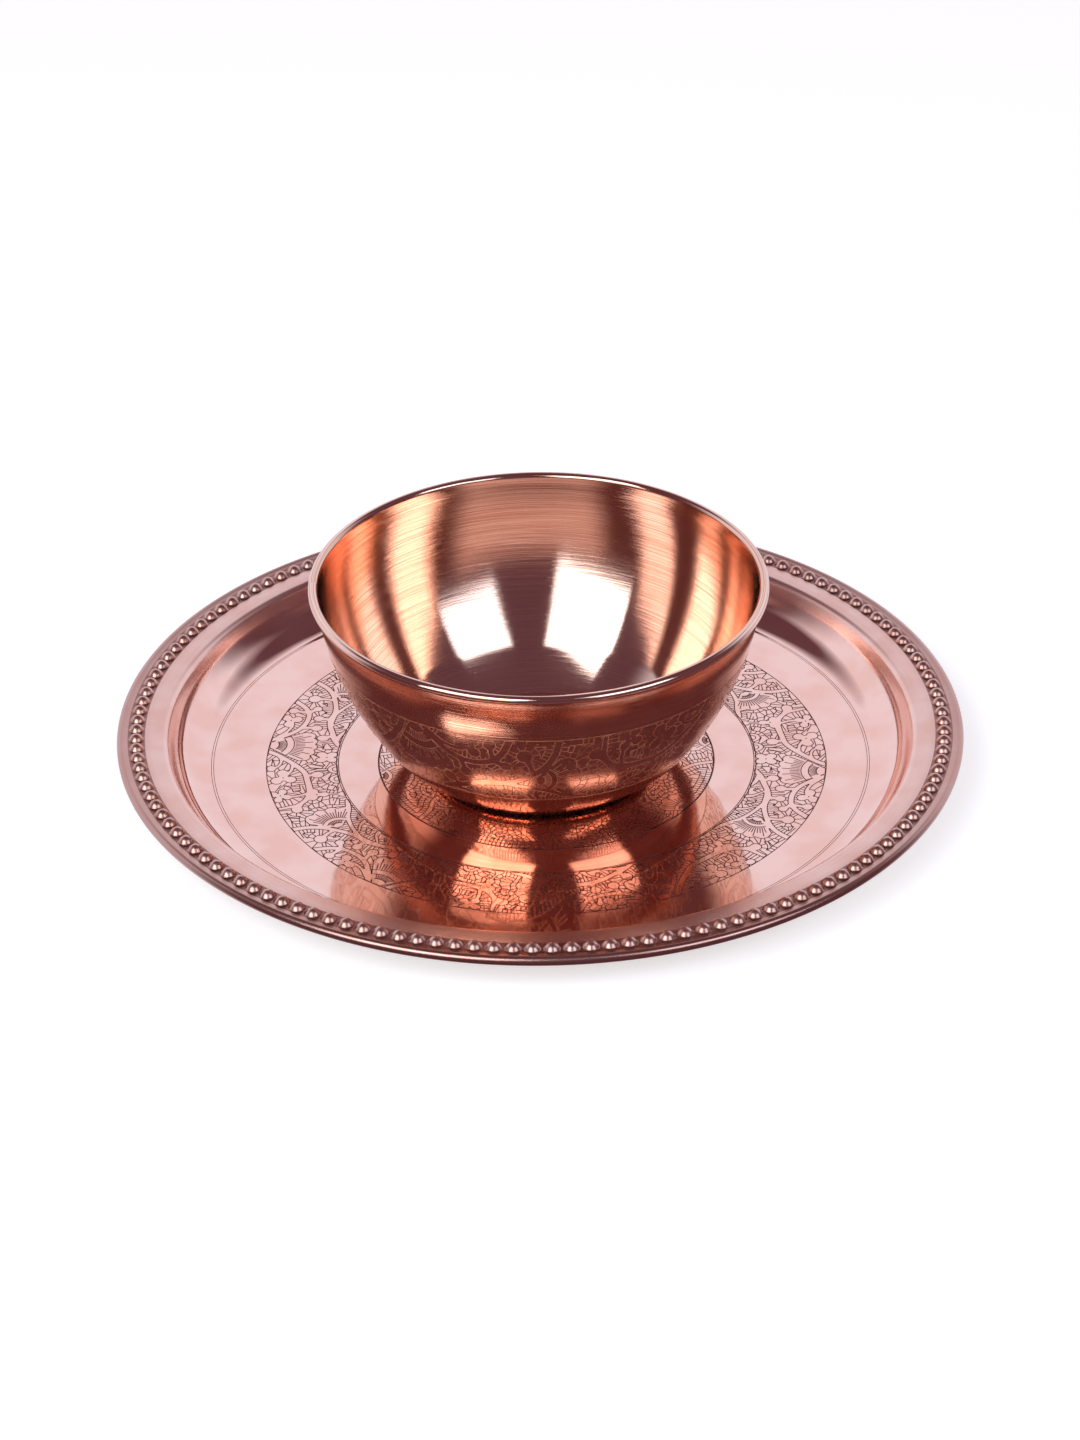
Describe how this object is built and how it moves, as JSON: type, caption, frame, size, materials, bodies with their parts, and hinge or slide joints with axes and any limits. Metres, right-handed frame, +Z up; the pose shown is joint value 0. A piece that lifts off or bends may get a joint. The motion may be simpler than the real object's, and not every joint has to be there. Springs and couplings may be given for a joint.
{
  "type": "copper serving tray",
  "caption": "Round copper serving tray with a raised pearl edge and an engraved floor, and the loose engraved bowl that stands in its middle.",
  "frame": {"origin": "centre of the tray's flat underside, where it rests on a table", "axes": "+Z up out of the tray, along the shared axis of tray and bowl; +X to the right and +Y to the back as the object is seen from its front"},
  "size_m": [0.26, 0.26, 0.0627],
  "materials": {
    "tray_copper": "polished copper, fine spun lines on the rim, hand-engraved floor",
    "bowl_copper": "satin copper, brushed around, hand-engraved outside",
    "edge_wire": "drawn steel wire, hidden inside the rolled edges"
  },
  "bodies": {
    "tray": {"tray_sheet": "tray_copper", "tray_rim_wire": "edge_wire"},
    "bowl": {"bowl_shell": "bowl_copper", "bowl_rim_wire": "edge_wire"}
  },
  "joints": [
    {"name": "bowl_lift", "type": "slide", "parent": "tray", "child": "bowl", "axis": [0, 0, 1], "range_m": [0, 0.08]}
  ]
}
